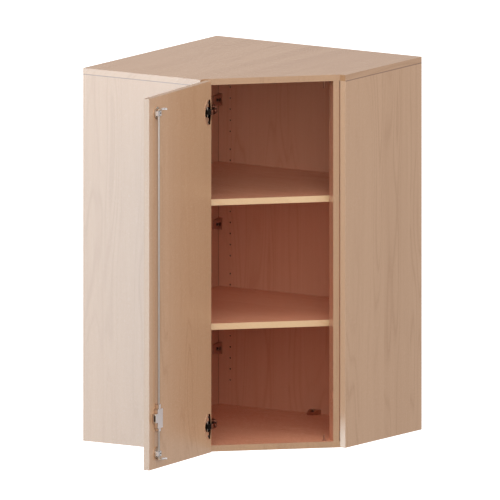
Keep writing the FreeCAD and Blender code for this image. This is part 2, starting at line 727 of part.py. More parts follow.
def write_hinges():
    """Both hinges: fixed half, crank, link and the half on the door."""
    def at_hinges(shape):
        return [moved(shape, z=z) for z in HINGE_HEIGHTS]

    export("hinge_plates", [to_front(s) for s in at_hinges(hinge_plate())])
    export("hinge_plate_screws", [to_front(s) for screw in plate_screws() for s in at_hinges(screw)])
    export("hinge_arms", [to_front(s) for s in at_hinges(hinge_arm())])
    export("hinge_arm_pins", [to_front(s) for s in at_hinges(arm_pin())])
    export("hinge_cups", [with_door(s) for s in at_hinges(hinge_cup())])
    export("hinge_cup_screws", [with_door(s) for screw in ear_screws() for s in at_hinges(screw)])
    export("hinge_cup_pins", [with_door(s) for s in at_hinges(cup_pin())])

    turned = crank()
    turned.rotate(ARM_PIN, UP, -DOOR_OPEN)
    swing = FreeCAD.Rotation(UP, -DOOR_OPEN)
    shift = swing.multVec(CUP_PIN - PIVOT) - (CUP_PIN - PIVOT)
    for name, z in zip(("lower", "upper"), HINGE_HEIGHTS):
        export(name + "_hinge_crank", [to_front(moved(turned, z=z))])
        export(name + "_hinge_link", [to_front(moved(hinge_link(), shift.x, shift.y, z))])
        export(name + "_link_pin", [to_front(moved(link_pin(), shift.x, shift.y, z))])


def write_door():
    """Door leaf, bands and the whole lock."""
    leaf, bands = door_boards()
    export("door_panel", [with_door(leaf)])
    export("door_edge_bands", [with_door(s) for s in bands])
    export("lower_rod_guide", [with_door(rod_guide(GUIDE_HEIGHTS[0]))])
    export("upper_rod_guide", [with_door(rod_guide(GUIDE_HEIGHTS[1]))])
    export("rod_guide_screws", [with_door(s) for z in GUIDE_HEIGHTS for s in guide_screws(z)])
    export("lock_case", [with_door(lock_case())])
    export("lock_case_necks", [with_door(s) for s in case_necks()])
    export("lock_bolt", [with_door(lock_bolt())])
    export("key_barrel", [with_door(key_barrel())])
    export("key_plug", [with_door(key_plug())])
    export("locking_rod", [with_door(locking_rod())])
    export("lower_rod_hook", [with_door(rod_hook(HOOK_HEIGHTS[0]))])
    export("upper_rod_hook", [with_door(rod_hook(HOOK_HEIGHTS[1]))])


os.makedirs("parts", exist_ok=True)
write_boards()
write_shelves()
write_stiles()
write_hinges()
write_door()
export("corner_connectors", all_connectors(connector()))
export("connector_screws", all_connectors(connector_screw()))
print("front plane %.2f mm from the room corner" % FRONT)
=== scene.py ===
# Hanging corner wall cabinet: five-sided carcass of maple-decor boards, a diagonal door standing open,
# loose shelves on drilled rows, concealed hinges and a turning rod lock on the inner face of the door.
import json
import math

import bmesh
import bpy
from mathutils import Matrix, Vector


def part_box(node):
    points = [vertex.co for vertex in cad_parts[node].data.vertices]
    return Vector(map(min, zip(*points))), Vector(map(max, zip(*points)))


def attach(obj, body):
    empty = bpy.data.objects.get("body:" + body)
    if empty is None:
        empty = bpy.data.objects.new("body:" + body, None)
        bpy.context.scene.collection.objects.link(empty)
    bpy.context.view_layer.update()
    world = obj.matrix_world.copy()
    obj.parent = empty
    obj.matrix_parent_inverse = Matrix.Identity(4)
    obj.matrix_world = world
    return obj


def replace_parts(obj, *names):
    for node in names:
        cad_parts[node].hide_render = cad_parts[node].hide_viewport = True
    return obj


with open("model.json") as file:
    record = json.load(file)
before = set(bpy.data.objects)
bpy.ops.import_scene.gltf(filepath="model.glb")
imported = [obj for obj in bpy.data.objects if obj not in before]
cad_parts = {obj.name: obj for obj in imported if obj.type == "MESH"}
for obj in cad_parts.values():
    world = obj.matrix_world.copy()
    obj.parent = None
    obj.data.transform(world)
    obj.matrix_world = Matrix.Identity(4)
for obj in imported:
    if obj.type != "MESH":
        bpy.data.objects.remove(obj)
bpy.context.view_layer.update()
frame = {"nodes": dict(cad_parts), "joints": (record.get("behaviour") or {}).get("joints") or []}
nodes = frame["nodes"]

# ---- Carcass boards ----
# Chipboard 18 mm thick, faced both sides with a printed maple decor under a matt melamine skin.
# The grain runs up the uprights and along the right wall on the horizontal boards. Panels are held
# by surface connectors and stand face to face, with the top covering everything below it.


class Wire:
    """One output of a material's node tree. Arithmetic on it adds Math nodes."""

    def __init__(self, tree, socket):
        self.tree = tree
        self.socket = socket

    def node(self, kind, settings, inputs, output=0):
        """Add a node: its settings first, then the values or wires of its sockets."""
        made = self.tree.nodes.new(kind)
        for name, value in settings.items():
            setattr(made, name, value)
        for name, value in inputs.items():
            if isinstance(value, Wire):
                self.tree.links.new(value.socket, made.inputs[name])
            else:
                made.inputs[name].default_value = value
        return Wire(self.tree, made.outputs[output])

    def math(self, operation, *values, clamp=False):
        settings = {"operation": operation, "use_clamp": clamp}
        return self.node("ShaderNodeMath", settings, dict(enumerate(values)))

    def __add__(self, other):
        return self.math("ADD", self, other)

    __radd__ = __add__

    def __sub__(self, other):
        return self.math("SUBTRACT", self, other)

    def __rsub__(self, other):
        return self.math("SUBTRACT", other, self)

    def __mul__(self, other):
        return self.math("MULTIPLY", self, other)

    __rmul__ = __mul__

    def __pow__(self, power):
        return self.math("POWER", self, power)

    def above(self, low, high):
        """0 below low, 1 above high, smooth between."""
        inputs = {"Value": self, "From Min": low, "From Max": high}
        return self.node("ShaderNodeMapRange", {"interpolation_type": "SMOOTHSTEP"}, inputs)

    def tint(self, first, second):
        """Colour that goes from first to second as this value goes from 0 to 1."""
        inputs = {0: self, 6: first, 7: second}
        return self.node("ShaderNodeMix", {"data_type": "RGBA"}, inputs, output=2)

    def stretched(self, scale, place=(0, 0, 0), turn=(0, 0, 0)):
        """Coordinates turned, scaled and shifted."""
        inputs = {"Vector": self, "Location": place, "Rotation": turn, "Scale": scale}
        return self.node("ShaderNodeMapping", {"vector_type": "POINT"}, inputs)

    def dot(self, direction):
        """How far this vector reaches along a direction."""
        inputs = {0: self, 1: tuple(direction)}
        return self.node("ShaderNodeVectorMath", {"operation": "DOT_PRODUCT"}, inputs, output="Value")

    def noise(self, scale, detail=3.0, roughness=0.5, distortion=0.0):
        inputs = {"Vector": self, "Scale": scale, "Detail": detail, "Roughness": roughness,
                  "Distortion": distortion}
        return self.node("ShaderNodeTexNoise", {}, inputs)


def new_finish(name):
    """An empty principled material: the material, its shader node and its object coordinates."""
    material = bpy.data.materials.new(name)
    material.use_nodes = True
    tree = material.node_tree
    shader = tree.nodes["Principled BSDF"]
    coordinates = tree.nodes.new("ShaderNodeTexCoord")
    return material, shader, Wire(tree, coordinates.outputs["Object"])


def connect(shader, **wires):
    """Link wires to the shader's sockets; an underscore stands for a space."""
    for name, wire in wires.items():
        wire.tree.links.new(wire.socket, shader.inputs[name.replace("_", " ")])


def edge_wear_and_shade(coordinates, radius):
    """Mask that is 1 on sharp outer edges, from how a rounded normal leaves the true one."""
    rounded = coordinates.node("ShaderNodeBevel", {"samples": 4}, {"Radius": radius})
    true = coordinates.node("ShaderNodeNewGeometry", {}, {}, output="Normal")
    match = coordinates.node("ShaderNodeVectorMath", {"operation": "DOT_PRODUCT"},
                             {0: rounded, 1: true}, output="Value")
    return (1.0 - match).above(0.015, 0.25)


MAPLE_PALE = (0.670, 0.404, 0.238, 1.0)
MAPLE_BROWN = (0.550, 0.306, 0.164, 1.0)
MAPLE_FLECK = (0.400, 0.215, 0.115, 1.0)
MAPLE_WORN = (0.700, 0.500, 0.350, 1.0)
# Dark brown for the lines where boards butt: painted shadow.
JOINT_SHADOW_PAINT = (0.230, 0.105, 0.055, 1.0)
CHIP_PALE = (0.250, 0.140, 0.075, 1.0)
CHIP_DARK = (0.090, 0.045, 0.025, 1.0)
# Warmer, brighter decor for the faces inside the cabinet: painted bounce light.
INSIDE_BOUNCE_PAINT_PALE = (0.860, 0.455, 0.292, 1.0)
INSIDE_BOUNCE_PAINT_BROWN = (0.775, 0.368, 0.228, 1.0)
# Darker inside decor for the left back panel: painted shade.
BACK_SHADE_PAINT_PALE = (0.750, 0.397, 0.255, 1.0)
BACK_SHADE_PAINT_BROWN = (0.675, 0.321, 0.199, 1.0)
# Redder, brighter inside decor for the bottom and the shelves: painted bounce light.
LEVEL_BOUNCE_PAINT_PALE = (0.915, 0.455, 0.280, 1.0)
LEVEL_BOUNCE_PAINT_BROWN = (0.825, 0.370, 0.222, 1.0)
BOARD = 0.018


FADE = 0.001
SKIN_SHARE = 0.9
FRONT_MARGIN = 0.020


def inside_carcass(spot):
    """1 on the faces that look into the cabinet, which take painted warm bounce light and shade, 0
    outside.
    """
    split = spot.node("ShaderNodeSeparateXYZ", {}, {"Vector": spot})
    x, y, z = (Wire(spot.tree, split.socket.node.outputs[axis]) for axis in "XYZ")
    low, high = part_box("right_side_panel")
    skin = BOARD * SKIN_SHARE
    wide, tall = high.x - skin, high.z - skin
    away = 0.0 - y
    mask = x.above(skin - FADE, skin) * away.above(skin - FADE, skin)
    mask = mask * (1.0 - x.above(wide, wide + FADE)) * (1.0 - away.above(wide, wide + FADE))
    mask = mask * z.above(skin - FADE, skin) * (1.0 - z.above(tall, tall + FADE))
    front = high.x - low.y - FRONT_MARGIN
    return mask * (1.0 - (x - y).above(front, front + FADE))


def chip_core(spot, axis, near, far):
    """1 between the two faces of a board, where a drilling or a sawn edge bares the chipboard."""
    split = spot.node("ShaderNodeSeparateXYZ", {}, {"Vector": spot})
    depth = Wire(spot.tree, split.socket.node.outputs[axis])
    return depth.above(near + 0.0008, near + 0.0012) * (1.0 - depth.above(far - 0.0012, far - 0.0008))


STAVE_SCALE = 7.5
FIGURE_SCALE = 9.0
FIGURE_STRETCH = 0.11
RINGS = 17.0
STREAK_SCALE = 300.0
BROAD_SCALE = 32.0
RIPPLE_SCALE = 420.0
FLECK_SCALE = 1100.0
KNOT_SCALE = 2.6
KNOT_RADIUS = (0.006, 0.026)
WORN_REACH = 0.0009
JOINT_HALF = (0.0010, 0.0018)
CHIP_SCALE = 600.0
PEEL_SCALE = 700.0


def maple(name, turn, place=(0.0, 0.0, 0.0), pale=MAPLE_PALE, brown=MAPLE_BROWN, paint_inside_light=True, core=None,
          joints=(), gloss=(1.0, 1.6), bounce_paint_pale=INSIDE_BOUNCE_PAINT_PALE, bounce_paint_brown=INSIDE_BOUNCE_PAINT_BROWN):
    """Printed maple decor under matt melamine: staves, flame, fibres, flecks and a few knots.
    The turn brings the grain direction onto Z; the core is the board's thickness axis and faces, and
    joints are the axes and levels of the lines where another board butts against this one, darkened
    with painted shadow. Faces inside the cabinet can take a warmer copy of the decor as painted bounce
    light and shade."""
    material, shader, spot = new_finish(name)
    grain = spot.stretched((1.0, 1.0, 1.0), place, turn)
    split = grain.node("ShaderNodeSeparateXYZ", {}, {"Vector": grain})
    x, y, z = (Wire(grain.tree, split.socket.node.outputs[axis]) for axis in "XYZ")
    across = x + y
    stave = across.node("ShaderNodeTexVoronoi", {"voronoi_dimensions": "1D"},
                        {"W": across, "Scale": STAVE_SCALE, "Randomness": 0.9}, output="Color")
    tone = stave.node("ShaderNodeSeparateColor", {}, {"Color": stave})
    shifted = grain.node("ShaderNodeCombineXYZ", {}, {"X": across, "Y": tone * 7.0, "Z": z})
    slope = shifted.stretched((1.0, 1.0, FIGURE_STRETCH)).noise(FIGURE_SCALE, 2.0, 0.45, 0.15)
    grown = slope * RINGS
    rings = grown.math("PINGPONG", grown, 0.5) * 2.0
    flame = (rings ** 3.0) * slope.above(0.42, 0.62)
    streak = shifted.stretched((1.0, 1.0, 0.022)).noise(STREAK_SCALE, 3.0, 0.6)
    broad = shifted.stretched((1.0, 1.0, 0.03)).noise(BROAD_SCALE, 2.0, 0.5)
    ripple = shifted.stretched((0.25, 1.0, 1.0)).noise(RIPPLE_SCALE, 2.0, 0.6)
    specks = shifted.stretched((1.0, 1.0, 0.10)).noise(FLECK_SCALE, 1.0, 0.5)
    fleck = specks.above(0.68, 0.76)
    knots = shifted.node("ShaderNodeTexVoronoi", {}, {
        "Vector": shifted.stretched((1.0, 1.0, 0.45)), "Scale": KNOT_SCALE, "Randomness": 1.0},
        output="Distance")
    knot = 1.0 - knots.above(*KNOT_RADIUS)
    depth = tone * 0.72 + (streak - 0.5) * 0.60 + (broad - 0.5) * 0.55 + (ripple - 0.5) * 0.40
    depth = depth + 0.25 - flame * 0.62
    depth = depth.math("ADD", depth, 0.0, clamp=True)
    colour = depth.tint(brown, pale)
    # Faces inside the cabinet take a warmer copy of the decor: painted bounce light and shade.
    if paint_inside_light:
        inner = depth.tint(bounce_paint_brown, bounce_paint_pale)
        colour = inside_carcass(spot).tint(colour, inner)
    colour = (fleck * 0.30 + knot * 0.55).tint(colour, MAPLE_FLECK)
    colour = (edge_wear_and_shade(spot, WORN_REACH) * 0.30).tint(colour, MAPLE_WORN)
    # Lines where another board butts against this one are darkened with painted shadow.
    for axis, level in joints:
        place_along = spot.node("ShaderNodeSeparateXYZ", {}, {"Vector": spot}, output=axis) - level
        gap = place_along.math("ABSOLUTE", place_along)
        colour = ((1.0 - gap.above(*JOINT_HALF)) * 0.75).tint(colour, JOINT_SHADOW_PAINT)
    if core:
        chips = spot.noise(CHIP_SCALE, 3.0, 0.7).above(0.35, 0.65).tint(CHIP_DARK, CHIP_PALE)
        colour = chip_core(spot, *core).tint(colour, chips)
    print_depth = spot.node("ShaderNodeBump", {}, {"Strength": 0.2, "Distance": 0.0001,
                                                   "Height": streak * 0.6 - fleck * 0.5})
    orange_peel = spot.noise(PEEL_SCALE, 2.0, 0.5)
    connect(shader, Base_Color=colour, Roughness=0.21 + orange_peel * 0.10 + fleck * 0.08,
            Normal=print_depth)
    shader.inputs["Specular IOR Level"].default_value, shader.inputs["IOR"].default_value = gloss
    return material


UPRIGHT = (0.0, 0.0, 0.0)
ALONG_RIGHT_WALL = (0.0, math.radians(90), 0.0)
ALONG_LEFT_WALL = (math.radians(90), 0.0, 0.0)


def finish_node(name, material, edge=0.0004):
    """Weld a CAD node's triangles, break its sharp edges slightly and give it a finish."""
    piece = nodes[name]
    weld = piece.modifiers.new("weld", "WELD")
    weld.merge_threshold = 0.00002
    rounding = piece.modifiers.new("broken edge", "BEVEL")
    rounding.width = edge
    rounding.segments = 2
    rounding.limit_method = "ANGLE"
    rounding.angle_limit = math.radians(40)
    rounding.use_clamp_overlap = True
    rounding.harden_normals = False
    piece.data.materials.clear()
    piece.data.materials.append(material)
    return piece


DULL = (0.4, 1.45)
UNDER_TOP = [("Z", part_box("top_panel")[0].z)]
EDGE_ON_BOARD = (0.0, 0.0, math.radians(90))
WALL_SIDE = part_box("right_side_panel")[1].x
finish_node("left_side_panel", maple("maple left side", UPRIGHT, (0.3, 0.0, 0.2),
                                     core=("Y", -WALL_SIDE, BOARD - WALL_SIDE), joints=UNDER_TOP))
finish_node("right_side_panel", maple("maple right side", UPRIGHT, (0.0, 0.7, 0.1),
                                      core=("X", WALL_SIDE - BOARD, WALL_SIDE), joints=UNDER_TOP))
finish_node("right_back_panel", maple("maple right back", UPRIGHT, (0.9, 0.2, 0.6),
                                      core=("Y", -BOARD, 0.0), joints=[("X", BOARD)], gloss=DULL))
# The left back panel's inside faces are darkened with painted shade.
finish_node("left_back_panel", maple("maple left back", UPRIGHT, (0.1, 1.4, 0.3), core=("X", 0.0, BOARD),
                                     gloss=DULL, bounce_paint_pale=BACK_SHADE_PAINT_PALE, bounce_paint_brown=BACK_SHADE_PAINT_BROWN))
finish_node("hinge_stile", maple("maple hinge stile", UPRIGHT, (1.7, 0.4, 0.8)))
finish_node("lock_stile", maple("maple lock stile", EDGE_ON_BOARD, (0.4, 2.1, 0.4)))
finish_node("top_panel", maple("maple top", ALONG_LEFT_WALL, (0.2, 0.0, 0.5), joints=UNDER_TOP))
# The bottom's inside faces take painted bounce light.
finish_node("bottom_panel", maple("maple bottom", ALONG_RIGHT_WALL, (1.2, 0.6, 0.0), gloss=DULL,
                                    bounce_paint_pale=LEVEL_BOUNCE_PAINT_PALE, bounce_paint_brown=LEVEL_BOUNCE_PAINT_BROWN))

# ---- Loose shelves ----
# Two loose shelves of the same board, cut to the cabinet's plan with the grain along the right wall.
# They lie on pins in the drilled rows; a paler band is glued along the diagonal front edge.

# The shelves take the same painted bounce light on their inside faces.
for shelf, place in (("lower_shelf", (0.5, 1.1, 0.9)), ("upper_shelf", (2.3, 0.3, 0.2))):
    finish_node(shelf, maple("maple " + shelf, ALONG_RIGHT_WALL, place, gloss=DULL,
                             bounce_paint_pale=LEVEL_BOUNCE_PAINT_PALE, bounce_paint_brown=LEVEL_BOUNCE_PAINT_BROWN))

# ---- Door leaf ----
# One upright board that covers the whole diagonal front, standing open on its two hinges. It is drilled
# for the hinge cups, the key barrel and the fittings' screws.

finish_node("door_panel", maple("maple door", UPRIGHT, (0.8, 0.9, 1.3)))

# ---- Edge bands ----
# Thin decor strips glued over every visible sawn edge and trimmed flush: a little darker than the faces
# on most boards, paler on the side panels' front edges, and a pale strip on the shelves.

BAND_EDGE = 0.0002
band_finish = maple("maple edge band", UPRIGHT, (0.6, 0.6, 0.6),
                    (0.560, 0.318, 0.164, 1.0), (0.485, 0.264, 0.130, 1.0), paint_inside_light=False)
for band in ("top_edge_band", "bottom_edge_band", "stile_edge_bands", "door_edge_bands"):
    finish_node(band, band_finish, BAND_EDGE)
side_band = maple("maple side band", UPRIGHT, (0.6, 0.2, 0.7),
                  (0.740, 0.500, 0.330, 1.0), (0.640, 0.410, 0.255, 1.0), paint_inside_light=False)
finish_node("side_edge_bands", side_band, BAND_EDGE)
pale_band = maple("pale shelf band", ALONG_RIGHT_WALL, (0.0, 0.0, 0.0),
                  (0.930, 0.645, 0.350, 1.0), (0.860, 0.550, 0.285, 1.0), paint_inside_light=False)
for band in ("lower_shelf_edge_band", "upper_shelf_edge_band"):
    finish_node(band, pale_band, BAND_EDGE)

# ---- Screws ----
# Steel pan-head screws with a cross recess, plated with bright or black zinc, in four sizes. Each stands
# where its plain screw stood: the place, axis and size of every one are read from that solid.


def loose_parts(name):
    """Corner points of each separate solid in a CAD node."""
    mesh = bmesh.new()
    mesh.from_mesh(nodes[name].data)
    bmesh.ops.remove_doubles(mesh, verts=mesh.verts, dist=0.00002)
    unseen = set(mesh.verts)
    parts = []
    while unseen:
        front = [unseen.pop()]
        part = []
        while front:
            vertex = front.pop()
            part.append(vertex.co.copy())
            near = [edge.other_vert(vertex) for edge in vertex.link_edges]
            fresh = [other for other in near if other in unseen]
            unseen.difference_update(fresh)
            front += fresh
        parts.append(part)
    mesh.free()
    return parts


def spread_along(points, direction):
    """Lowest and highest level of the points along a direction."""
    levels = [point.dot(direction) for point in points]
    return min(levels), max(levels)


def screw_stance(points, directions):
    """Seat of the head, direction out of the head, head radius and height, and the shank's length.
    The axis is the direction round which the solid is equally wide both ways."""
    def unevenness(axis):
        side = axis.orthogonal().normalized() if abs(axis.z) > 0.5 else Vector((0.0, 0.0, 1.0))
        other = axis.cross(side)
        (low, high), (near, far) = spread_along(points, side), spread_along(points, other)
        middle = side * ((low + high) / 2) + other * ((near + far) / 2)
        return abs((high - low) - (far - near)), middle, (high - low) / 2

    uneven, middle, radius, axis = min(((*unevenness(axis), axis) for axis in directions),
                                       key=lambda found: found[0])
    low, high = spread_along(points, axis)
    wide = [point.dot(axis) for point in points if (point - middle).cross(axis).length > radius * 0.8]
    if abs(min(wide) - low) < abs(high - max(wide)):
        axis, low, high, wide = -axis, -high, -low, [-level for level in wide]
    return middle + axis * min(wide), axis, radius, high - min(wide), min(wide) - low


def group_input(tree, name, kind, value):
    """A named input of a node group, with its default."""
    socket = tree.interface.new_socket(name, in_out="INPUT", socket_type=kind)
    if value is not None:
        socket.default_value = value
    return socket


RECESS_SPAN = 1.15
RECESS_WIDTH = 0.26
RECESS_DEPTH = 1.1
RIM_SHARE = 0.4
TOP_SHARE = 0.62
HEAD_SIDES = 32
SHANK_SIDES = 20
TURN_SEED = 11


def screw_tree():
    """Node group that puts a cross-recess screw on every point, along the point's axis."""
    tree = bpy.data.node_groups.new("cross recess screws", "GeometryNodeTree")
    group_input(tree, "Points", "NodeSocketGeometry", None)
    for name, value in (("Head Radius", 0.004), ("Head Height", 0.0024), ("Shank Radius", 0.002),
                        ("Shank Length", 0.010)):
        group_input(tree, name, "NodeSocketFloat", value)
    group_input(tree, "Finish", "NodeSocketMaterial", None)
    tree.interface.new_socket("Screws", in_out="OUTPUT", socket_type="NodeSocketGeometry")
    given = tree.nodes.new("NodeGroupInput")
    points, radius, height, shank, length, finish = (Wire(tree, out) for out in given.outputs[:6])

    rise = points.node("ShaderNodeCombineXYZ", {}, {"Z": height})
    dish = points.node("GeometryNodeMeshCone", {}, {
        "Vertices": HEAD_SIDES, "Radius Top": radius * TOP_SHARE, "Radius Bottom": radius,
        "Depth": height * (1 - RIM_SHARE)})
    rim = points.node("GeometryNodeMeshCylinder", {}, {"Vertices": HEAD_SIDES, "Radius": radius,
                                                       "Depth": height * RIM_SHARE})
    dish = points.node("GeometryNodeTransform", {}, {
        "Geometry": dish,
        "Translation": points.node("ShaderNodeCombineXYZ", {}, {"Z": height * RIM_SHARE})})
    rim = points.node("GeometryNodeTransform", {}, {
        "Geometry": rim,
        "Translation": points.node("ShaderNodeCombineXYZ", {}, {"Z": height * (RIM_SHARE / 2)})})
    cuts = []
    for long_way, short_way in (("X", "Y"), ("Y", "X")):
        size = points.node("ShaderNodeCombineXYZ", {}, {
            long_way: radius * RECESS_SPAN, short_way: radius * RECESS_WIDTH, "Z": height * RECESS_DEPTH})
        blade = points.node("GeometryNodeMeshCube", {}, {"Size": size})
        cuts.append(points.node("GeometryNodeTransform", {}, {"Geometry": blade, "Translation": rise}))
    recessed = dish
    for cut in cuts:
        recessed = difference(recessed, cut)
    stem = points.node("GeometryNodeMeshCylinder", {}, {"Vertices": SHANK_SIDES, "Radius": shank,
                                                        "Depth": length})
    stem = points.node("GeometryNodeTransform", {}, {
        "Geometry": stem, "Translation": points.node("ShaderNodeCombineXYZ", {}, {"Z": length * -0.5})})
    screw = joined(tree, (recessed, rim, stem))

    axis = points.node("GeometryNodeInputNamedAttribute", {"data_type": "FLOAT_VECTOR"}, {"Name": "axis"})
    stand = points.node("FunctionNodeAlignRotationToVector", {"axis": "Z"}, {"Vector": axis})
    spin = points.node("FunctionNodeRandomValue", {"data_type": "FLOAT"},
                       {2: 0.0, 3: 3.0, "Seed": TURN_SEED}, output=1)
    twist = points.node("ShaderNodeCombineXYZ", {}, {"Z": spin})
    turned = points.node("FunctionNodeRotateRotation", {"rotation_space": "LOCAL"},
                         {"Rotation": stand, "Rotate By": twist})
    placed = points.node("GeometryNodeInstanceOnPoints", {}, {"Points": points, "Instance": screw,
                                                              "Rotation": turned})
    real = points.node("GeometryNodeRealizeInstances", {}, {"Geometry": placed})
    coated = points.node("GeometryNodeSetMaterial", {}, {"Geometry": real, "Material": finish})
    result = tree.nodes.new("NodeGroupOutput")
    tree.links.new(coated.socket, result.inputs[0])
    return tree


def difference(shape, cut):
    """Shape with the cut taken away, in a geometry tree."""
    node = shape.tree.nodes.new("GeometryNodeMeshBoolean")
    node.operation = "DIFFERENCE"
    node.solver = "EXACT"
    shape.tree.links.new(shape.socket, node.inputs["Mesh 1"])
    shape.tree.links.new(cut.socket, node.inputs["Mesh 2"])
    return Wire(shape.tree, node.outputs["Mesh"])


def joined(tree, shapes):
    """Several geometries as one."""
    node = tree.nodes.new("GeometryNodeJoinGeometry")
    for shape in reversed(shapes):
        tree.links.new(shape.socket, node.inputs[0])
    return Wire(tree, node.outputs[0])


# Metal edge colours: dark for painted shade along the edges, light for lightened edges.
SHADE_PAINT_RIM = (0.030, 0.022, 0.018, 1.0)
BRIGHT_RIM = (0.850, 0.830, 0.800, 1.0)
SPLIT_BLUR = 0.0006
SPLIT_FROST = 0.30


def metal(name, pale, dark, roughness, brushed=(1.0, 1.0, 1.0), outline=0.0, rim=0.0006,
          facing=None, split=None):
    """Plated or drawn metal: clouded tone, fine brushing, edges darkened with painted shade (outline
    above 0) or lightened (below 0). Facing gives the faces that look one way another colour; split
    another colour past a level along a direction. Where used, these hold painted reflections."""
    material, shader, spot = new_finish(name)
    cloud = spot.noise(160.0, 3.0, 0.6)
    brushing = spot.stretched(brushed).noise(2600.0, 2.0, 0.6)
    tone = (cloud * 0.55 + brushing * 0.45).above(0.25, 0.75).tint(dark, pale)
    rimmed = edge_wear_and_shade(spot, rim) * abs(outline)
    if facing:
        way, colour = facing
        normal = Wire(spot.tree, spot.socket.node.outputs["Normal"])
        faced = normal.dot(way).above(0.75, 0.95)
        tone = faced.tint(tone, colour)
        rimmed = rimmed * (1.0 - faced)
    frosted = 0.0
    if split:
        way, level, colour = split
        beyond = spot.dot(way).above(level - SPLIT_BLUR, level + SPLIT_BLUR)
        tone = beyond.tint(tone, colour)
        frosted = beyond * SPLIT_FROST
    # Edges are darkened with painted shade where outline is above 0, and lightened below 0.
    tone = rimmed.tint(tone, SHADE_PAINT_RIM if outline > 0 else BRIGHT_RIM)
    bump = spot.node("ShaderNodeBump", {}, {"Strength": 0.15, "Distance": 0.00003, "Height": brushing})
    unevenness = (cloud + brushing) * 0.06
    connect(shader, Base_Color=tone, Roughness=frosted + unevenness + roughness, Normal=bump)
    shader.inputs["Metallic"].default_value = 1.0
    return material


# The bright zinc's edges are darkened with painted shade.
zinc = metal("zinc plate", (0.60, 0.59, 0.57, 1.0), (0.40, 0.39, 0.38, 1.0), 0.22, outline=0.3)
SCREWS = screw_tree()


def place_screws(name, stances, body, finish):
    """One piece with a cross-recess screw at every stance, all of the first one's size."""
    mesh = bpy.data.meshes.new(name + "_places")
    mesh.from_pydata([tuple(stance[0]) for stance in stances], [], [])
    axis = mesh.attributes.new("axis", "FLOAT_VECTOR", "POINT")
    axis.data.foreach_set("vector", [value for stance in stances for value in stance[1]])
    maker = bpy.data.objects.new(name + "_maker", mesh)
    bpy.context.scene.collection.objects.link(maker)
    modifier = maker.modifiers.new("screws", "NODES")
    modifier.node_group = SCREWS
    radius, height, length = stances[0][2:]
    sizes = {"Head Radius": radius, "Head Height": height, "Shank Radius": radius * 0.5,
             "Shank Length": length, "Finish": finish}
    for item in SCREWS.interface.items_tree:
        if item.name in sizes:
            modifier[item.identifier] = sizes[item.name]
    made = bpy.data.meshes.new_from_object(maker.evaluated_get(bpy.context.evaluated_depsgraph_get()))
    bpy.data.objects.remove(maker)
    made.name = name
    piece = bpy.data.objects.new(name, made)
    bpy.context.scene.collection.objects.link(piece)
    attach(piece, body)
    return piece


def drive_screws(name, directions, body, finish=zinc):
    """Replace a node's plain screws by cross-recess ones."""
    stances = [screw_stance(part, directions) for part in loose_parts(name)]
    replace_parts(place_screws(name + "_driven", stances, body, finish), name)


def joint_named(name):
    """One joint of the cabinet."""
    return next(joint for joint in frame["joints"] if joint["name"] == name)


DOOR_INWARD = Vector(joint_named("plug_turn")["axis"]).normalized()
STILE_INWARD = Vector((1.0, 1.0, 0.0)).normalized()
SQUARE = [Vector((1.0, 0.0, 0.0)), Vector((0.0, 1.0, 0.0)), Vector((0.0, 0.0, 1.0))]
black_zinc = metal("black zinc", (0.10, 0.08, 0.07, 1.0), (0.05, 0.04, 0.035, 1.0), 0.30)
drive_screws("connector_screws", SQUARE + [STILE_INWARD], "cabinet", black_zinc)
drive_screws("hinge_plate_screws", [STILE_INWARD], "cabinet")
drive_screws("hinge_cup_screws", [DOOR_INWARD], "door", black_zinc)
drive_screws("rod_guide_screws", [DOOR_INWARD], "door")

# ---- Corner connectors ----
# Trapezoid surface connectors of satin-nickelled zinc, screwed into the boards along the inner
# corners. The brown of the boards round them is painted into the plating's colour as a reflection,
# and their edges carry painted shade.

connector_reflection_paint = metal("connector nickel painted reflection", (0.64, 0.40, 0.30, 1.0), (0.54, 0.33, 0.245, 1.0), 0.32,
                         outline=0.9)
finish_node("corner_connectors", connector_reflection_paint, 0.0005)

# ---- Hinges ----
# Concealed hinges of polished nickel: a pressed cup let into the door, an arm clipped on the
# stile's plate, and between them a bent link and a short crank on pins. Their colours are painted
# reflections, near black for the shaded inside and wood brown for the boards, with painted shade
# along the edges of the cups and plates.

UP = Vector((0.0, 0.0, 1.0))
DOOR_ALONG = UP.cross(-DOOR_INWARD)
PIVOT_TO_EDGE = 0.0017
FLANGE_SPLIT = 0.018
LINK_SPLIT = 0.007
# Wood brown for the hinge metal: a painted reflection of the boards.
REFLECTION_PAINT_PALE = (0.26, 0.10, 0.062, 1.0)
REFLECTION_PAINT_DARK = (0.18, 0.066, 0.040, 1.0)
hinge_edge = Vector(joint_named("door_swing")["pos_m"]).dot(DOOR_ALONG) + PIVOT_TO_EDGE
door_face = max(vertex.co.dot(DOOR_INWARD) for vertex in nodes["door_panel"].data.vertices)
crank_reflection_paint = metal("crank nickel painted reflection", REFLECTION_PAINT_PALE, REFLECTION_PAINT_DARK, 0.10, outline=-0.08)
for name in ("lower_hinge_crank", "upper_hinge_crank"):
    finish_node(name, crank_reflection_paint)
# The link is wood brown, a painted reflection of the boards, and near black close to the door's face, a
# painted reflection of the shaded inside.
link_reflection_paint = metal("link nickel painted reflection", REFLECTION_PAINT_PALE, REFLECTION_PAINT_DARK, 0.06, outline=-0.30,
                    split=(-DOOR_INWARD, -door_face - LINK_SPLIT, (0.016, 0.012, 0.010, 1.0)))
for name in ("lower_hinge_link", "upper_hinge_link"):
    finish_node(name, link_reflection_paint)
# Plates and arms are a darker wood brown, a painted reflection of the boards, with painted shade on their
# edges.
plate_reflection_paint = metal("hinge nickel painted reflection", (0.32, 0.14, 0.095, 1.0), (0.24, 0.10, 0.065, 1.0), 0.24,
                     outline=0.4)
for name in ("hinge_plates", "hinge_arms"):
    finish_node(name, plate_reflection_paint)
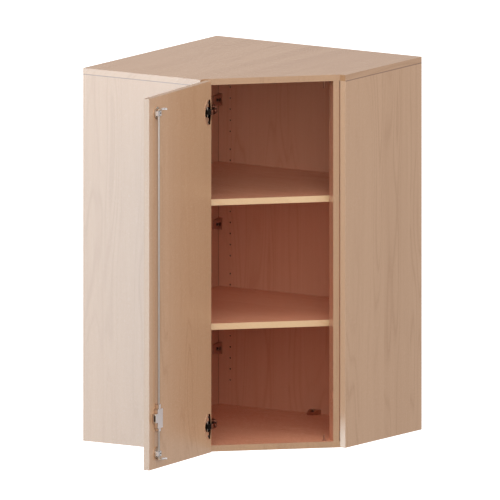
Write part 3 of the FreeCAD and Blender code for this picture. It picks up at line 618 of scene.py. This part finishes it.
# The cup is near black, a painted reflection of the shaded inside, and wood toned past a level along the
# door, a painted reflection of the door; its edges carry painted shade.
cup_reflection_paint = metal("cup nickel painted reflection", (0.045, 0.032, 0.028, 1.0), (0.025, 0.018, 0.016, 1.0), 0.08,
                   outline=0.60, split=(DOOR_ALONG, hinge_edge + FLANGE_SPLIT, (0.92, 0.66, 0.46, 1.0)))
finish_node("hinge_cups", cup_reflection_paint)
PIN_EDGE = 0.0002
pin_finish = metal("pin steel", (0.34, 0.29, 0.26, 1.0), (0.24, 0.20, 0.18, 1.0), 0.18)
for name in ("hinge_arm_pins", "hinge_cup_pins", "lower_link_pin", "upper_link_pin"):
    finish_node(name, pin_finish, PIN_EDGE)

# ---- Rod lock ----
# Die-cast case with its bolt housing and necks, and two oval guides, all satin-nickelled and screwed to
# the door. A drawn steel rod turns in them, with a hook at each end that catches a post. The case,
# guides and hooks carry a painted reflection of the wood, a painted bright reflection on the case's
# inward faces, the guides' blocks and the hooks past the rod, and painted shade along their edges;
# the posts are darkened with painted shade.

CAST_EDGE = 0.0005
GUIDE_FOOT = 0.0040
HOOK_ROOT = 0.010
# Warm wood tones for the lock's metal are a painted reflection of the boards; the bright grey is a
# painted reflection of light.
PAINTED_WOOD_REFLECTION_WARM = (0.86, 0.68, 0.52, 1.0)
PAINTED_WOOD_REFLECTION_DULL = (0.74, 0.57, 0.43, 1.0)
BRIGHT_REFLECTION_PAINT = (0.97, 0.93, 0.92, 1.0)
# The case's faces that look into the cabinet take the painted bright reflection.
cast_reflection_paint = metal("casting nickel painted reflection", PAINTED_WOOD_REFLECTION_WARM, PAINTED_WOOD_REFLECTION_DULL, 0.30, outline=1.0, rim=0.0045,
                    facing=(DOOR_INWARD, BRIGHT_REFLECTION_PAINT))
for name in ("lock_case", "lock_case_necks"):
    finish_node(name, cast_reflection_paint, CAST_EDGE)
guide_base = min(vertex.co.dot(DOOR_INWARD) for vertex in nodes["upper_rod_guide"].data.vertices)
# The guides' blocks above the foot take the painted bright reflection.
guide_reflection_paint = metal("guide nickel painted reflection", PAINTED_WOOD_REFLECTION_WARM, PAINTED_WOOD_REFLECTION_DULL, 0.30, outline=1.0, rim=0.0040,
                     split=(DOOR_INWARD, guide_base + GUIDE_FOOT + CAST_EDGE, BRIGHT_REFLECTION_PAINT))
for name in ("lower_rod_guide", "upper_rod_guide"):
    finish_node(name, guide_reflection_paint, CAST_EDGE)
rod_finish = metal("drawn steel", (0.66, 0.60, 0.55, 1.0), (0.56, 0.50, 0.45, 1.0), 0.42,
                   brushed=(1.0, 1.0, 0.03))
finish_node("locking_rod", rod_finish)
past_rod = -Vector(joint_named("rod_turn")["pos_m"]).dot(DOOR_ALONG) + HOOK_ROOT
# The hooks past the rod take the painted bright reflection.
hook_reflection_paint = metal("hook steel painted reflection", PAINTED_WOOD_REFLECTION_WARM, PAINTED_WOOD_REFLECTION_DULL, 0.28, outline=0.9, rim=0.0030,
                    split=(-DOOR_ALONG, past_rod, BRIGHT_REFLECTION_PAINT))
for name in ("lower_rod_hook", "upper_rod_hook"):
    finish_node(name, hook_reflection_paint)
# The keeper posts are darkened to the reddish brown of the inside: painted shade.
post_shade_paint = metal("post steel painted shade", (0.42, 0.20, 0.13, 1.0), (0.30, 0.14, 0.09, 1.0), 0.35)
finish_node("keeper_posts", post_shade_paint)
bolt_finish = metal("blackened steel", (0.10, 0.060, 0.045, 1.0), (0.06, 0.036, 0.027, 1.0), 0.35)
finish_node("lock_bolt", bolt_finish)

# ---- Set screws ----
# A small blackened screw in the inner face of each guide's block, which holds its sleeve on the rod.

SET_SCREW_RADIUS = 0.0024
SET_SCREW_HEIGHT = 0.0005
SET_SCREW_LENGTH = 0.0020
SET_SCREW_PLACE = 0.25
FACE_DEPTH = 0.0005
set_screws = []
for guide in ("lower_rod_guide", "upper_rod_guide"):
    corners = [vertex.co for vertex in nodes[guide].data.vertices]
    face = spread_along(corners, DOOR_INWARD)[1]
    block_face = [corner for corner in corners if corner.dot(DOOR_INWARD) > face - FACE_DEPTH]
    near, far = spread_along(block_face, DOOR_ALONG)
    seat = DOOR_INWARD * face + DOOR_ALONG * (near + (far - near) * SET_SCREW_PLACE)
    seat.z = sum(spread_along(corners, UP)) / 2
    set_screws.append((seat, DOOR_INWARD, SET_SCREW_RADIUS, SET_SCREW_HEIGHT, SET_SCREW_LENGTH))
place_screws("guide_set_screws", set_screws, "door", black_zinc)

# ---- Key cylinder ----
# Nickelled brass: a barrel through the door with a round escutcheon outside, and inside it the plug
# that the key turns.

brass_finish = metal("nickelled brass", (0.72, 0.62, 0.44, 1.0), (0.55, 0.46, 0.31, 1.0), 0.16,
                     outline=-0.4)
for name in ("key_barrel", "key_plug"):
    finish_node(name, brass_finish)

# ---- Shelf pins ----
# Turned steel pins with a round collar, pushed into the drilled rows under each shelf, which lies
# loose on them.

pin_steel = metal("turned steel", (0.60, 0.58, 0.57, 1.0), (0.42, 0.41, 0.40, 1.0), 0.28)
finish_node("shelf_pins", pin_steel)

# ---- Floor, light and camera ----
# The cabinet hangs above a pale floor in a white studio, lit by a broad soft key from the front left
# with weaker fills. The camera looks down a little from the right of the door, without perspective.

ANGLE = math.radians(33.07)
TILT = math.radians(9.07)
FRAMED_WIDTH = 1.4300
CORNER_TO_AIM = (0.0955, 0.6133)
CAMERA_DISTANCE = 5.0
to_camera = Vector((math.sin(ANGLE) * math.cos(TILT), -math.cos(ANGLE) * math.cos(TILT), math.sin(TILT)))
right = Vector((math.cos(ANGLE), math.sin(ANGLE), 0.0))
up = to_camera.cross(right)
corner = Vector((0.0, 0.0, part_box("top_panel")[1].z))
aim = corner + right * CORNER_TO_AIM[0] - up * CORNER_TO_AIM[1]

camera_data = bpy.data.cameras.new("camera")
camera_data.type = "ORTHO"
camera_data.ortho_scale = FRAMED_WIDTH
camera = bpy.data.objects.new("camera", camera_data)
turned = Matrix((right, up, to_camera)).transposed().to_4x4()
camera.matrix_world = Matrix.Translation(aim + to_camera * CAMERA_DISTANCE) @ turned
bpy.context.scene.collection.objects.link(camera)
bpy.context.scene.camera = camera


MIDDLE = Vector((0.35, -0.35, 0.55))
WHITE = (1.0, 1.0, 1.0)
WINDOW_TINT = (0.815, 0.975, 1.05)


def studio_light(name, direction, distance, size, power, colour):
    """A rectangular soft light that stands in a direction from the cabinet's middle, facing it."""
    data = bpy.data.lights.new(name, "AREA")
    data.shape = "RECTANGLE"
    data.size, data.size_y = size
    data.energy = power
    data.color = colour
    lamp = bpy.data.objects.new(name, data)
    lamp.location = MIDDLE + Vector(direction).normalized() * distance
    lamp.rotation_euler = (MIDDLE - lamp.location).to_track_quat("-Z", "Y").to_euler()
    lamp.visible_camera = False
    bpy.context.scene.collection.objects.link(lamp)


studio_light("window", (-0.47, -0.88, -0.09), 12.0, (4.4, 3.6), 245.0, WINDOW_TINT)
studio_light("front fill", (0.60, -0.75, 0.35), 5.0, (3.0, 3.0), 52.0, WHITE)
studio_light("overhead", (0.10, -0.18, 1.00), 4.5, (3.0, 3.0), 54.0, WHITE)
studio_light("front top", (0.45, -0.60, 0.70), 5.0, (2.5, 2.5), 24.0, WHITE)
studio_light("right fill", (0.92, -0.30, 0.25), 5.0, (3.0, 3.0), 8.0, WHITE)

SURROUND_STRENGTH = 0.54
world = bpy.data.worlds.new("studio")
world.use_nodes = True
surround = world.node_tree.nodes["Background"].inputs
surround["Color"].default_value = (*WHITE, 1.0)
surround["Strength"].default_value = SURROUND_STRENGTH
bpy.context.scene.world = world
bpy.context.scene.view_settings.view_transform = "Standard"
bpy.context.scene.view_settings.look = "None"

HALF_FLOOR = 30.0
HANGING_HEIGHT = 1.35
FLOOR_GREY = (0.85, 0.85, 0.85, 1.0)
floor_mesh = bpy.data.meshes.new("floor")
floor_corners = ((-1, -1), (1, -1), (1, 1), (-1, 1))
floor_mesh.from_pydata([(x * HALF_FLOOR, y * HALF_FLOOR, -HANGING_HEIGHT) for x, y in floor_corners],
                       [], [(0, 1, 2, 3)])
floor = bpy.data.objects.new("floor", floor_mesh)
bpy.context.scene.collection.objects.link(floor)
floor_material, floor_shader, _ = new_finish("pale floor")
floor_shader.inputs["Base Color"].default_value = FLOOR_GREY
floor_shader.inputs["Emission Color"].default_value = (*WHITE, 1.0)
floor_shader.inputs["Emission Strength"].default_value = 1.0
floor.visible_diffuse = False
floor.visible_glossy = False
floor.visible_shadow = False
floor_mesh.materials.append(floor_material)
